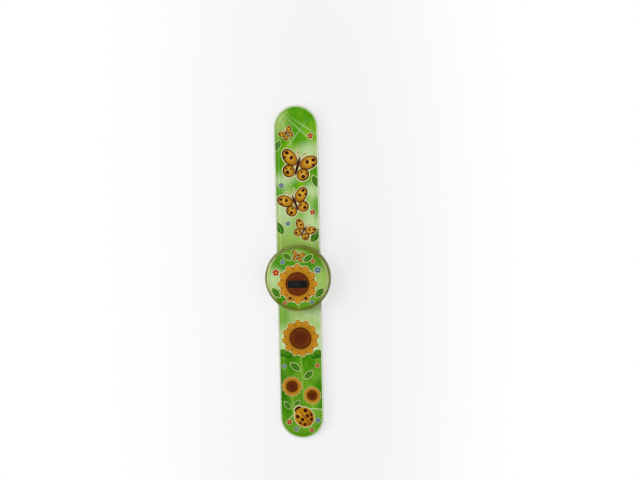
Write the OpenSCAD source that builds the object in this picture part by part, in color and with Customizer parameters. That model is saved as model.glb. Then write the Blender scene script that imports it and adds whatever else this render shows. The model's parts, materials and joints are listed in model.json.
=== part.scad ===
// Toy slap watch: a round digital watch head on a springy band that is straight
// until it is slapped against a wrist and then curls round it.
// Millimetres. X runs across the band, +Y to its upper tip and +Z out of the face.
// The origin is under the centre of the head, on the flat that the watch lies on.

/* [Band] */
// Length of the band from tip to tip
band_length = 225; // [205:1:245]
// Width of the band
band_width = 30; // [27:0.5:33]
// Distance from the middle of the band down to the centre of the head
head_drop = 2; // [0:0.5:5]
// Rise of the band's edges above its middle line while it is straight
camber = 1; // [0.5:0.1:1.6]
// Thickness of each vinyl sheet of the sleeve
sheet_thickness = 0.4; // [0.3:0.05:0.6]
// Welded margin between the spring strip and the edge of the sleeve
weld_margin = 4; // [3:0.25:5]
// Thickness of the spring steel strip
spring_thickness = 0.25; // [0.15:0.05:0.4]
// Length of band that is clamped under the head and stays straight
held_length = 20; // [18:0.5:24]
// Number of links that each half of the band curls in
links = 8; // [6:1:8]

/* [Case] */
// Outside diameter of the case
case_diameter = 44; // [43:0.5:48]
// Thickness of the case walls
case_wall = 1.4; // [1.2:0.1:1.8]
// Thickness of the floor of the case base
floor_thickness = 1; // [0.8:0.1:1.5]
// Height of the joint between base and front above the floor
joint_height = 2.2; // [1.6:0.1:2.8]
// Height of the lip that centres the front on the base
lip_height = 0.6; // [0.4:0.1:1]
// Radius of the rounded lower edge of the base
base_round = 2; // [1:0.1:2.5]
// Thickness of the top of the case front at its rim
top_thickness = 1.1; // [0.9:0.1:1.6]
// Radius of the rounded upper edge of the rim
rim_round = 1; // [0.5:0.1:1.2]
// Width of the bare rim round the face label
rim_width = 1.3; // [1:0.1:2]
// Rise of the domed face from its rim to its crown
face_rise = 1.3; // [0.8:0.1:2]
// Thickness of the printed face label
label_thickness = 0.25; // [0.15:0.05:0.4]

/* [Display] */
// Width of the display window
window_width = 13; // [11:0.5:14]
// Height of the display window
window_height = 5; // [4:0.25:6]
// Distance from the centre of the head down to the centre of the window
window_drop = 3.8; // [3:0.1:4.2]
// Thickness of the clear window lens
lens_thickness = 0.8; // [0.6:0.1:1]
// Overlap of the lens, glass and films past each side of the window
window_overlap = 0.5; // [0.3:0.1:0.8]
// Thickness of the ledge that carries the lens
ledge_thickness = 0.5; // [0.4:0.1:0.8]
// Thickness of the liquid crystal glass
glass_thickness = 1.1; // [0.8:0.1:1.4]
// Thickness of the polariser and of the reflector film
film_thickness = 0.2; // [0.1:0.05:0.3]
// Width of the wall of the moulded frame round the glass
frame_wall = 1.4; // [1:0.1:1.6]
// Width of each striped rubber connector
zebra_width = 1.1; // [0.8:0.1:1.4]
// Reach of the glass past each side of the lens
glass_reach = 1; // [0.6:0.1:1.2]
// Distance of the films and connectors inside the edge of the glass
film_inset = 0.2; // [0.1:0.05:0.4]

/* [Buttons] */
// Diameter of the part of a button that shows
button_diameter = 1.8; // [1.4:0.1:2.4]
// Distance between the two buttons
button_spacing = 10.4; // [8:0.2:12]
// Distance from the centre of the head down to the buttons
button_drop = 13.2; // [12.8:0.1:13.6]
// Height that a button stands above the face
button_height = 0.5; // [0.3:0.1:0.8]
// Travel of a button
button_travel = 0.35; // [0.2:0.05:0.45]
// Width of the flange that keeps a button in the case
flange_width = 0.8; // [0.6:0.1:1]
// Diameter of the snap dome under each button
dome_diameter = 4.4; // [4:0.1:4.8]
// Height of the snap dome
dome_height = 0.5; // [0.45:0.05:0.6]
// Thickness of the snap dome's sheet
dome_sheet = 0.12; // [0.1:0.02:0.2]
// Thickness of the button's flange
flange_thickness = 0.7; // [0.5:0.1:0.8]
// Diameter of the stem that presses the dome
stem_diameter = 1.6; // [1.2:0.1:1.8]

/* [Movement] */
// Thickness of the circuit board
board_thickness = 0.7; // [0.6:0.1:1]
// Height of the circuit board above the floor
board_lift = 0.65; // [0.6:0.05:0.8]
// Diameter of the button cell
cell_diameter = 11.6; // [7.9:0.1:11.6]
// Height of the button cell
cell_height = 3.05; // [2.6:0.05:3.6]
// Step from the cell's can in and down to its cap
cell_step = 0.7; // [0.4:0.1:0.9]
// Distance from the centre of the head up to the button cell
cell_rise = 8.6; // [8.4:0.1:8.8]
// Thickness of the cell's contact strips
contact_thickness = 0.2; // [0.15:0.05:0.3]
// Width of the cell's contact strips
contact_width = 4; // [2:0.5:5]
// Space left above the cell's upper contact
head_room = 0.35; // [0.2:0.05:0.8]
// Reach of the contact strips past the hole for the cell
contact_reach = 2; // [1.5:0.1:2.2]
// Length of the feet of the contact strips on the board
contact_foot = 1.5; // [1:0.1:1.6]
// Diameter of the blob of resin over the chip
blob_diameter = 6; // [4:0.5:7]
// Height of the blob of resin over the chip
blob_height = 0.5; // [0.3:0.05:0.55]
// Diameter of the quartz crystal's can
crystal_diameter = 2; // [1.5:0.1:2.2]
// Length of the quartz crystal's can
crystal_length = 6; // [5:0.5:6.5]
// Length of each chip capacitor
capacitor_length = 2; // [1.5:0.1:2.2]
// Width of each chip capacitor
capacitor_width = 1.25; // [0.8:0.05:1.4]
// Height of each chip capacitor
capacitor_height = 0.9; // [0.5:0.1:1.2]

/* [Fasteners] */
// Thickness of the strap plate at its middle line
plate_thickness = 1.6; // [1.4:0.1:2.2]
// Width of the strap plate across the band
plate_width = 24; // [22:0.5:26]
// Reach of the case's pad past each side of the strap plate
pad_reach = 1; // [0.5:0.25:1.25]
// Distance of the pad's ends inside the held part of the band
pad_inset = 0.6; // [0.5:0.1:1]
// Distance of the plate's ends inside the held part of the band
plate_inset = 1; // [0.8:0.1:1.5]
// Radius of the corners of the strap plate and of the pad
plate_corner = 3; // [2:0.25:4]
// Diameter of the case and strap screws
screw_diameter = 1.7; // [1.4:0.1:1.8]
// Diameter of the case and strap screws' heads
screw_head_diameter = 3; // [2.6:0.1:3.2]
// Height of the case and strap screws' heads
screw_head_height = 0.8; // [0.6:0.1:0.9]
// Depth of a screw head below the face that it is sunk in
head_sink = 0.1; // [0.05:0.05:0.2]
// Height of the base's bosses under the case posts, above the floor
boss_height = 1.2; // [1:0.1:1.6]
// Length of hole left past the end of a screw
blind_end = 0.25; // [0.15:0.05:0.4]
// Wall of the posts round the screws
post_wall = 1.3; // [1:0.1:1.4]
// Distance of the strap screws from the centre of the head
strap_screw_offset = 7.5; // [6:0.25:8]
// Distance of the case screws above and below the centre of the head
case_screw_offset = 6; // [5:0.25:7]
// Diameter of the two screws that hold the circuit board
board_screw_diameter = 1.2; // [1:0.1:1.4]
// Height of the board screws' heads
board_screw_head_height = 0.5; // [0.4:0.05:0.55]
// Reach of the board screws' heads past their shanks
board_screw_head_reach = 0.7; // [0.5:0.1:0.8]
// Wall of the posts round the board screws
board_post_wall = 1.1; // [0.8:0.1:1.2]
// Distance of the board screws left and right of the centre of the head
board_screw_offset = 8.2; // [7.8:0.1:8.4]

/* [Clearances] */
// Gap between pieces that seat on each other
fit_gap = 0.03; // [0.02:0.01:0.05]
// Gap round a button where it slides in the case
slide_gap = 0.08; // [0.04:0.01:0.1]
// Gap between a screw and the hole that it passes through
hole_gap = 0.15; // [0.1:0.05:0.2]
// Gap between the screw posts and the wall of the case
post_gap = 0.3; // [0.2:0.05:0.4]
// Gap between the circuit board and the wall of the case
board_margin = 1; // [0.6:0.1:1.2]
// Gap between the circuit board's parts, and between the board and the posts beside it
board_gap = 0.6; // [0.4:0.1:0.8]
// Gap round the cell in the circuit board
cell_gap = 0.5; // [0.3:0.1:0.6]
// Gap round the spring strip inside its sleeve, beside its edges
spring_side_gap = 0.25; // [0.1:0.05:0.4]
// Gap above and below the spring strip inside its sleeve
spring_play = 0.05; // [0.03:0.01:0.08]
// Gap between neighbouring links of the band
link_gap = 0.2; // [0.1:0.05:0.4]
// Room between the curling band and the case above it
swing_gap = 0.35; // [0.3:0.05:0.6]

/* [Hidden] */
$fn = 64;
// Facets of the wide, shallow arc across the band
camber_facets = 720;
// Facets of the shallow dome of the face
dome_facets = 360;
// Extra reach of a cutter past the face that it cuts
past = 1;

// Heights, from the flat that the watch lies on up to the crown of its face
band_thickness = 2 * sheet_thickness + spring_thickness + 2 * spring_play;
z_band = plate_thickness + fit_gap;
z_under = z_band + band_thickness + camber + swing_gap;
z_floor = z_under + floor_thickness;
z_joint = z_floor + joint_height;
z_board = z_floor + board_lift;
z_board_top = z_board + board_thickness;
z_cell = z_floor + contact_thickness + 2 * fit_gap;
z_clip = z_cell + cell_height + fit_gap;
z_roof = z_clip + contact_thickness + head_room;
z_edge = z_roof + top_thickness;
z_crown = z_edge + face_rise;

// Band
camber_radius = pow(band_width / 2, 2) / (2 * camber) + camber / 2;
spring_width = band_width - 2 * weld_margin;
upper_tip = band_length / 2 + head_drop;
lower_tip = -band_length / 2 + head_drop;
half_held = held_length / 2;

// Case
case_r = case_diameter / 2;
inner_r = case_r - case_wall;
lip_r = case_r - case_wall / 2;
label_r = case_r - rim_width;
dome_r = (pow(label_r, 2) + pow(face_rise, 2)) / (2 * face_rise);
z_dome_centre = z_crown - dome_r;
screw_r = screw_diameter / 2;
screw_head_r = screw_head_diameter / 2;
post_r = screw_r + post_wall;
case_screw_x = sqrt(pow(inner_r - post_gap - post_r, 2) - pow(case_screw_offset, 2));
strap_boss_top = z_board - 4 * fit_gap;
pad_length = held_length - 2 * pad_inset;
pad_width = plate_width + 2 * pad_reach;
plate_length = held_length - 2 * plate_inset;

// Display, from the lens down to the rubber connectors
lens_width = window_width + 2 * window_overlap;
lens_height = window_height + 2 * window_overlap;
lens_corner_r = norm([lens_width / 2, window_drop + lens_height / 2]);
z_lens_top = dome_z(lens_corner_r) - fit_gap;
z_lens = z_lens_top - lens_thickness;
z_display = z_lens - fit_gap - ledge_thickness;
glass_width = lens_width + 2 * glass_reach;
glass_height = lens_height + 2 * glass_reach;
z_polariser = z_display - fit_gap - film_thickness;
z_glass = z_polariser - fit_gap - glass_thickness;
z_reflector = z_glass - fit_gap - film_thickness;
frame_width = glass_width + 2 * (fit_gap + frame_wall);
frame_height = glass_height + 2 * (fit_gap + frame_wall);
zebra_length = lens_width;
zebra_offset = (glass_height - zebra_width) / 2 - film_inset;
reflector_height = 2 * zebra_offset - zebra_width - 4 * film_inset;

// Buttons
button_r = button_diameter / 2;
flange_r = button_r + flange_width;
dome_cap_r = (pow(dome_diameter / 2, 2) + pow(dome_height, 2)) / (2 * dome_height);
button_reach = norm([button_spacing / 2, button_drop]);

// Movement
cell_hole_r = cell_diameter / 2 + cell_gap;
contact_span = cell_hole_r + contact_reach;
board_r = inner_r - board_margin;
board_half_width = case_screw_x - post_r - board_gap;
board_screw_head_r = board_screw_diameter / 2 + board_screw_head_reach;
board_post_r = board_screw_diameter / 2 + board_post_wall;
board_screw_y = -window_drop + frame_height / 2 + board_gap + board_post_r;
// Upper edge of the row of small parts between the display's frame and the buttons
row_y = -window_drop - frame_height / 2 - board_gap;
capacitor_x = (button_spacing + dome_diameter) / 2 + board_gap;

// Height of the domed top of the case front at a distance from its middle
function dome_z(r) = z_dome_centre + sqrt(pow(dome_r, 2) - pow(r, 2));

// Place of a bend line: 1 is beside the held part, and one past the last link is the tip
function bend_y(tip, i) = sign(tip) * half_held + (tip - sign(tip) * half_held) * (i - 1) / links;

// Ends of a link, each drawn back from its bend line by half the gap between links
function link_start(tip, i) = bend_y(tip, i) + sign(tip) * link_gap / 2;
function link_end(tip, i) = bend_y(tip, i + 1) - sign(tip) * link_gap / 2 * (i < links ? 1 : -1);

function case_screw_places() = [for (x = [-1, 1], y = [-1, 1]) [x * case_screw_x, y * case_screw_offset]];
function strap_screw_places() = [for (x = [-1, 1]) [x * strap_screw_offset, 0]];
function board_screw_places() = [for (x = [-1, 1]) [x * board_screw_offset, board_screw_y]];
function button_places() = [for (x = [-1, 1]) [x * button_spacing / 2, -button_drop]];

// Repeats its children at each of a list of places
module at_each(places) {
    for (place = places) translate([place[0], place[1], 0]) children();
}

// Upright cylinder between two heights
module post(r, from, to) {
    translate([0, 0, from]) cylinder(r = r, h = to - from);
}

// Box between two heights, centred on the display's place
module display_block(width, height, from, to) {
    translate([-width / 2, -window_drop - height / 2, from]) cube([width, height, to - from]);
}

// Half of the outline of a disc with a rounded outer corner at its top
module rounded_half(r, height, corner) {
    square([r - corner, height]);
    square([r, height - corner]);
    intersection() {
        translate([r - corner, height - corner]) circle(r = corner);
        square([r, height]);
    }
}

// Long outline with round ends, from one tip to the other
module tongue(width, low, high) {
    translate([-width / 2, low + width / 2]) square([width, high - low - width]);
    for (y = [low + width / 2, high - width / 2]) translate([0, y]) circle(d = width, $fn = 128);
}

// Rectangle with round corners, centred on the origin
module round_rectangle(width, height, corner) {
    square([width - 2 * corner, height], center = true);
    square([width, height - 2 * corner], center = true);
    for (x = [-1, 1], y = [-1, 1])
        translate([x * (width / 2 - corner), y * (height / 2 - corner)]) circle(r = corner);
}

// All that lies above the curved surface at a height over the back of the band
module above_band(height) {
    translate([0, 0, z_band + camber_radius]) rotate([90, 0, 0])
        cylinder(r = camber_radius - height, h = 2 * band_length, center = true, $fn = camber_facets);
}

// One layer of the band: a length of its outline between two curved surfaces
module band_layer(inset, from, to, under, over) {
    width = band_width - 2 * inset;
    intersection() {
        translate([0, 0, z_band - past]) linear_extrude(camber + band_thickness + 2 * past)
            intersection() {
                tongue(width, lower_tip + inset, upper_tip - inset);
                translate([-width, min(from, to)]) square([2 * width, abs(to - from)]);
            }
        difference() {
            above_band(under);
            above_band(over);
        }
    }
}

// Vinyl sleeve of the band: two sheets that are welded together along their margins
// and part in the middle round the pocket that the spring strip lies in
module sleeve(from, to) {
    pocket_inset = weld_margin - spring_side_gap;
    overrun = sign(to - from) * past;
    color([0.46, 0.69, 0.16]) difference() {
        union() {
            band_layer(0, from, to, 0, 2 * sheet_thickness);
            band_layer(pocket_inset - sheet_thickness, from, to, 0, band_thickness);
        }
        band_layer(pocket_inset, from - overrun, to + overrun, sheet_thickness, band_thickness - sheet_thickness);
    }
}

// Spring steel strip inside the sleeve
module spring(from, to) {
    color([0.72, 0.74, 0.77]) band_layer(weld_margin, from, to,
        sheet_thickness + spring_play, sheet_thickness + spring_play + spring_thickness);
}

module mid_sleeve() {
    color([0.46, 0.69, 0.16]) difference() {
        sleeve(-half_held + link_gap / 2, half_held - link_gap / 2);
        at_each(strap_screw_places()) post(screw_r + hole_gap, 0, z_floor);
    }
}

module mid_spring() {
    color([0.72, 0.74, 0.77]) difference() {
        spring(-half_held + link_gap / 2, half_held - link_gap / 2);
        at_each(strap_screw_places()) post(screw_r + hole_gap, 0, z_floor);
    }
}

// Plate on the wrist side that clamps the band to the case
module strap_plate() {
    color([0.86, 0.88, 0.84]) difference() {
        linear_extrude(z_band + camber) round_rectangle(plate_width, plate_length, plate_corner);
        above_band(-fit_gap);
        at_each(strap_screw_places()) {
            post(screw_r + hole_gap, -past, z_floor);
            post(screw_head_r + hole_gap, -past, head_sink + screw_head_height);
        }
    }
}

// Pan-head screw that points up, with a cross recess in its head
module screw(r, length, head_r, head_height) {
    slot_width = head_r / 3;
    slot_depth = head_height / 2;
    difference() {
        union() {
            cylinder(r = head_r, h = head_height);
            cylinder(r = r, h = head_height + length);
        }
        for (turn = [0, 90]) rotate(turn)
            translate([-head_r * 0.6, -slot_width / 2, -past]) cube([head_r * 1.2, slot_width, slot_depth + past]);
    }
}

module strap_screws() {
    z_head = head_sink;
    length = strap_boss_top - blind_end - fit_gap - z_head - screw_head_height;
    color("silver") at_each(strap_screw_places()) translate([0, 0, z_head])
        screw(screw_r, length, screw_head_r, screw_head_height);
}

// Lower shell of the case, with the pad that sits on the band
module case_base() {
    color([0.50, 0.66, 0.18]) difference() {
        union() {
            difference() {
                translate([0, 0, z_joint]) mirror([0, 0, 1])
                    rotate_extrude($fn = 128) rounded_half(case_r, z_joint - z_under, base_round);
                post(inner_r, z_floor, z_joint + past);
            }
            difference() {
                post(lip_r - fit_gap, z_joint - floor_thickness, z_joint + lip_height);
                post(inner_r, z_floor, z_joint + lip_height + past);
            }
            intersection() {
                translate([0, 0, z_band]) linear_extrude(z_floor - z_band)
                    round_rectangle(pad_width, pad_length, plate_corner);
                above_band(band_thickness + fit_gap);
            }
            at_each(case_screw_places()) post(post_r, z_floor - floor_thickness / 2, z_floor + boss_height);
            at_each(strap_screw_places()) post(post_r, z_floor - floor_thickness / 2, strap_boss_top);
        }
        at_each(case_screw_places()) {
            post(screw_r + hole_gap, z_under - past, z_joint);
            post(screw_head_r + hole_gap, z_under - past, z_under + head_sink + screw_head_height);
        }
        at_each(strap_screw_places()) post(screw_r + fit_gap, z_band, strap_boss_top - blind_end);
    }
}

module case_screws() {
    z_head = z_under + head_sink;
    length = z_roof - blind_end - z_head - screw_head_height;
    color("silver") at_each(case_screw_places()) translate([0, 0, z_head])
        screw(screw_r, length, screw_head_r, screw_head_height);
}

// The domed solid that carries the label, or the same dome raised by a height
module dome(raised) {
    translate([0, 0, z_dome_centre]) sphere(r = dome_r + raised, $fn = dome_facets);
}

// Upper shell of the case: wall, domed top, screw posts, window and button holes
module case_front() {
    rim_top = z_edge + label_thickness;
    color([0.50, 0.66, 0.18]) difference() {
        union() {
            difference() {
                translate([0, 0, z_joint + fit_gap])
                    rotate_extrude($fn = 128) rounded_half(case_r, rim_top - z_joint - fit_gap, rim_round);
                post(inner_r, z_joint, z_roof);
                post(lip_r, z_joint, z_joint + lip_height + fit_gap);
                post(label_r + fit_gap, z_edge, rim_top + past);
            }
            intersection() {
                post(label_r + fit_gap, z_roof, z_crown + past);
                dome(0);
            }
            at_each(case_screw_places())
                post(post_r - fit_gap, z_floor + boss_height + fit_gap, z_roof + top_thickness / 2);
            at_each(board_screw_places())
                post(board_post_r, z_board_top + fit_gap, z_roof + top_thickness / 2);
        }
        display_block(window_width, window_height, z_roof, z_crown);
        display_block(lens_width + 2 * fit_gap, lens_height + 2 * fit_gap, z_lens - fit_gap, z_crown);
        display_block(frame_width + 2 * fit_gap, frame_height + 2 * fit_gap, z_roof - past, z_display);
        at_each(button_places()) post(button_r + slide_gap, z_roof - past, z_crown);
        at_each(case_screw_places()) post(screw_r + fit_gap, z_floor, z_roof);
        at_each(board_screw_places()) post(board_screw_diameter / 2 + fit_gap, z_board_top, z_roof);
    }
}

// Printed film that covers the domed top of the case front
module face_label() {
    color([0.42, 0.66, 0.12]) difference() {
        intersection() {
            post(label_r, z_roof, z_crown + past);
            difference() {
                dome(label_thickness);
                dome(fit_gap);
            }
        }
        display_block(window_width, window_height, z_roof, z_crown + past);
        at_each(button_places()) post(button_r + slide_gap, z_roof, z_crown + past);
    }
}

module window_lens() {
    color([0.75, 0.82, 0.85, 0.5]) display_block(lens_width, lens_height, z_lens, z_lens_top);
}

module lcd_polariser() {
    color([0.10, 0.11, 0.10])
        display_block(glass_width - 2 * film_inset, glass_height - 2 * film_inset,
            z_polariser, z_polariser + film_thickness);
}

module lcd_glass() {
    color([0.30, 0.34, 0.30]) display_block(glass_width, glass_height, z_glass, z_glass + glass_thickness);
}

module lcd_reflector() {
    color([0.70, 0.72, 0.68])
        display_block(zebra_length, reflector_height, z_reflector, z_reflector + film_thickness);
}

// Moulded tray that holds the glass and the rubber connectors on the board
module module_frame() {
    color([0.16, 0.16, 0.17]) difference() {
        display_block(frame_width, frame_height, z_board_top + fit_gap, z_display - fit_gap);
        display_block(glass_width + 2 * fit_gap, glass_height + 2 * fit_gap, z_glass - fit_gap, z_display);
        display_block(zebra_length + 2 * fit_gap, reflector_height + 2 * fit_gap, z_reflector - fit_gap, z_glass);
        for (side = [-1, 1]) translate([0, side * zebra_offset, 0])
            display_block(zebra_length + 2 * fit_gap, zebra_width + 2 * fit_gap, z_board_top, z_glass);
    }
}

// Striped rubber connectors that carry the display's signals up from the board
module zebra_strips() {
    color([0.80, 0.60, 0.62]) for (side = [-1, 1]) translate([0, side * zebra_offset, 0])
        display_block(zebra_length, zebra_width, z_board_top + fit_gap, z_glass - fit_gap);
}

module circuit_board() {
    color([0.10, 0.42, 0.22]) translate([0, 0, z_board]) linear_extrude(board_thickness) difference() {
        intersection() {
            circle(r = board_r, $fn = 128);
            square([2 * board_half_width, 2 * case_diameter], center = true);
        }
        translate([0, cell_rise]) circle(r = cell_hole_r);
        at_each(board_screw_places()) circle(d = board_screw_diameter + 2 * hole_gap);
    }
}

module board_screws() {
    z_head = z_board - fit_gap - board_screw_head_height;
    length = z_roof - blind_end - z_board;
    color("silver") at_each(board_screw_places()) translate([0, 0, z_head])
        screw(board_screw_diameter / 2, length, board_screw_head_r, board_screw_head_height);
}

// Low round cap of a given width and height that stands on the plane z = 0
module low_cap(cap_r, height) {
    intersection() {
        translate([0, 0, height - cap_r]) sphere(r = cap_r, $fn = 128);
        post(cap_r, 0, height + past);
    }
}

// Drop of resin over the clock chip, on the underside of the board
module chip_blob() {
    blob_cap_r = (pow(blob_diameter / 2, 2) + pow(blob_height, 2)) / (2 * blob_height);
    color([0.07, 0.07, 0.08]) translate([0, -window_drop, z_board - fit_gap]) mirror([0, 0, 1])
        low_cap(blob_cap_r, blob_height);
}

module crystal_can() {
    color([0.78, 0.79, 0.80])
        translate([-crystal_length / 2, row_y - crystal_diameter / 2, z_board_top + fit_gap + crystal_diameter / 2])
            rotate([0, 90, 0]) cylinder(d = crystal_diameter, h = crystal_length);
}

module chip_capacitors() {
    color([0.62, 0.50, 0.36]) for (side = [0, 1]) mirror([side, 0, 0])
        translate([capacitor_x, row_y - capacitor_length, z_board_top + fit_gap])
            cube([capacitor_width, capacitor_length, capacitor_height]);
}

// Silver-oxide size cell, with its narrower cap downwards
module button_cell() {
    color([0.80, 0.80, 0.82]) translate([0, cell_rise, z_cell]) {
        cylinder(d = cell_diameter - 2 * cell_step, h = cell_step);
        translate([0, 0, cell_step]) cylinder(d = cell_diameter, h = cell_height - cell_step);
    }
}

// Contact strip that bridges the cell's hole, with a foot at each end on the board
module contact_bridge(z_strip, z_foot) {
    low = min(z_strip, z_foot);
    high = max(z_strip, z_foot) + contact_thickness;
    color([0.83, 0.74, 0.45]) translate([0, cell_rise - contact_width / 2, 0]) {
        translate([-contact_span, 0, z_strip]) cube([2 * contact_span, contact_width, contact_thickness]);
        for (side = [0, 1]) mirror([side, 0, 0]) translate([contact_span - contact_thickness, 0, 0]) {
            translate([0, 0, low]) cube([contact_thickness, contact_width, high - low]);
            translate([0, 0, z_foot]) cube([contact_foot, contact_width, contact_thickness]);
        }
    }
}

module cell_clip() {
    contact_bridge(z_clip, z_board_top + fit_gap);
}

module cell_spring() {
    contact_bridge(z_floor + fit_gap, z_board - fit_gap - contact_thickness);
}

// Sprung metal dome that a button presses on the board
module snap_dome(place) {
    color([0.85, 0.82, 0.70]) translate([place[0], place[1], z_board_top + fit_gap]) difference() {
        low_cap(dome_cap_r, dome_height);
        translate([0, 0, -dome_sheet]) low_cap(dome_cap_r, dome_height);
        translate([0, 0, -past]) cylinder(r = dome_diameter / 2 - 3 * dome_sheet, h = past);
    }
}

module set_dome() {
    snap_dome(button_places()[0]);
}

module time_dome() {
    snap_dome(button_places()[1]);
}

// Push button: stem on the dome, flange under the case top, shaft through the face
module button(place) {
    z_stem = z_board_top + dome_height + 2 * fit_gap;
    z_flange = z_roof - fit_gap - flange_thickness;
    z_top = dome_z(button_reach) + label_thickness + button_height;
    color([0.26, 0.08, 0.04]) translate([place[0], place[1], 0]) {
        post(stem_diameter / 2, z_stem, z_flange + flange_thickness / 2);
        post(flange_r, z_flange, z_flange + flange_thickness);
        post(button_r, z_flange + flange_thickness / 2, z_top);
    }
}

module set_button() {
    button(button_places()[0]);
}

module time_button() {
    button(button_places()[1]);
}

case_base();
case_front();
face_label();
window_lens();
lcd_polariser();
lcd_glass();
lcd_reflector();
module_frame();
zebra_strips();
circuit_board();
chip_blob();
crystal_can();
chip_capacitors();
button_cell();
cell_clip();
cell_spring();
set_dome();
time_dome();
set_button();
time_button();
board_screws();
case_screws();
strap_plate();
strap_screws();
mid_sleeve();
mid_spring();
for (i = [1:links]) {
    sleeve(link_start(upper_tip, i), link_end(upper_tip, i));
    spring(link_start(upper_tip, i), link_end(upper_tip, i));
    sleeve(link_start(lower_tip, i), link_end(lower_tip, i));
    spring(link_start(lower_tip, i), link_end(lower_tip, i));
}
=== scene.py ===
import bpy, bmesh, json, math
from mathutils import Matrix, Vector
from mathutils.geometry import delaunay_2d_cdt


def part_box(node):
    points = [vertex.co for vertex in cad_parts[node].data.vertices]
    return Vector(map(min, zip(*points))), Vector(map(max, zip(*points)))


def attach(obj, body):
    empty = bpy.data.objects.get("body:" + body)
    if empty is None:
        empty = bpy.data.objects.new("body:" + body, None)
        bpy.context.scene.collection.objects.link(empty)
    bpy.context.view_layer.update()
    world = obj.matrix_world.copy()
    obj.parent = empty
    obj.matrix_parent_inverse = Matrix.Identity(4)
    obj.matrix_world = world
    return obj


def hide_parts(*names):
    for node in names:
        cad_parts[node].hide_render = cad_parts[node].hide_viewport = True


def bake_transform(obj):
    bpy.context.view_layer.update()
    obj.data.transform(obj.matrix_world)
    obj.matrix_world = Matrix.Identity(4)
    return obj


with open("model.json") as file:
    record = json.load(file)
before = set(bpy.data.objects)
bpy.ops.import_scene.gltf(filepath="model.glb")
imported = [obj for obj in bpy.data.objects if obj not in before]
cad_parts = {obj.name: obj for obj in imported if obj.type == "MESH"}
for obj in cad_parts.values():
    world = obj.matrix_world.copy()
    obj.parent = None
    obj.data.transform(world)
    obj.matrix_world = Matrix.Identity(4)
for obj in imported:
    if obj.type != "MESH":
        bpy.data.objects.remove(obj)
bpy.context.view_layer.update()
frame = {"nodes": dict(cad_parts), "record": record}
cadNodes = frame["nodes"]
mm = 0.001
print("frame loaded,", len(cadNodes), "nodes")


# helpers for shader trees

def paint(r, g, b):
    # screen colour 0-255 to the linear colour that a socket takes
    linear = [c / 255 / 12.92 if c <= 10 else ((c / 255 + 0.055) / 1.055) ** 2.4 for c in (r, g, b)]
    return (*linear, 1.0)


def join(tree, value, socket):
    if isinstance(value, bpy.types.NodeSocket):
        tree.links.new(value, socket)
    else:
        socket.default_value = value


def addNode(tree, kind, inputs, **settings):
    node = tree.nodes.new("ShaderNode" + kind)
    for key, value in settings.items():
        setattr(node, key, value)
    for key, value in inputs.items():
        join(tree, value, node.inputs[key])
    return node


def calc(tree, operation, a, b=0.0, c=0.0):
    return addNode(tree, "Math", {0: a, 1: b, 2: c}, operation=operation).outputs[0]


def ramp(tree, value, low, high, toLow=0.0, toHigh=1.0):
    ends = {0: value, 1: low, 2: high, 3: toLow, 4: toHigh}
    return addNode(tree, "MapRange", ends, interpolation_type="SMOOTHSTEP").outputs[0]


def inside(tree, value, limit, soft):
    # 1 where value is under the limit, with a soft edge
    return ramp(tree, value, limit + soft, limit - soft)


def layOver(tree, under, over, amount):
    node = tree.nodes.new("ShaderNodeMix")
    node.data_type = "RGBA"
    for index, value in ((0, amount), (6, under), (7, over)):
        join(tree, value, node.inputs[index])
    return node.outputs[2]


def split(tree, vector):
    return addNode(tree, "SeparateXYZ", {0: vector}).outputs


def span(tree, vector):
    return addNode(tree, "VectorMath", {0: vector}, operation="LENGTH").outputs["Value"]


def placed(tree, place, x, y, turn=0.0, w=1.0, h=1.0):
    # the same plane, seen from a motif's own centre, turn and size
    c, s = math.cos(math.radians(turn)), math.sin(math.radians(turn))
    own = []
    for ax, ay in ((c / w, s / w), (-s / h, c / h)):
        along = addNode(tree, "VectorMath", {0: place, 1: (ax, ay, 0)}, operation="DOT_PRODUCT")
        own.append(calc(tree, "SUBTRACT", along.outputs["Value"], x * ax + y * ay))
    return addNode(tree, "CombineXYZ", {0: own[0], 1: own[1]}).outputs[0]


def oval(tree, place, x, y, w, h, turn=0.0, soft=0.1):
    # soft is the width of the blurred edge, in the units of the plane
    return inside(tree, span(tree, placed(tree, place, x, y, turn, w / 2, h / 2)), 1.0, soft / min(w, h))


def bar(tree, place, x, y, w, h, soft):
    own = placed(tree, place, x, y, 0.0, w / 2, h / 2)
    parts = split(tree, addNode(tree, "VectorMath", {0: own}, operation="ABSOLUTE").outputs[0])
    return inside(tree, calc(tree, "MAXIMUM", parts[0], parts[1]), 1.0, soft / min(w, h))


def grain(tree, vector, scale, detail=3.0, rough=0.5):
    noise = {"Vector": vector, "Scale": scale, "Detail": detail, "Roughness": rough}
    return addNode(tree, "TexNoise", noise).outputs[0]


def stretched(tree, vector, x, y, z):
    return addNode(tree, "Mapping", {"Vector": vector, "Scale": (x, y, z)}).outputs[0]


def objectPlace(tree):
    return tree.nodes.new("ShaderNodeTexCoord").outputs["Object"]


def millimetres(tree):
    # a piece's own coordinates in millimetres
    return stretched(tree, objectPlace(tree), 1000, 1000, 1000)


def newMaterial(name):
    material = bpy.data.materials.new(name)
    material.use_nodes = True
    tree = material.node_tree
    return material, tree, tree.nodes["Principled BSDF"]


def dress(tree, shader, color, rough, fixed=None):
    # fixed holds the values that stay the same all over
    tree.links.new(color, shader.inputs["Base Color"])
    tree.links.new(rough, shader.inputs["Roughness"])
    for key, value in (fixed or {}).items():
        shader.inputs[key].default_value = value


def bumped(tree, shader, height, depth):
    # depth is in metres, for a height of 0 to 1
    node = addNode(tree, "Bump", {"Height": height, "Distance": depth, "Strength": 1.0})
    tree.links.new(node.outputs[0], shader.inputs["Normal"])


# helpers for meshes

def addObject(name, data):
    made = bpy.data.objects.new(name, data)
    bpy.context.scene.collection.objects.link(made)
    return made


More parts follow.
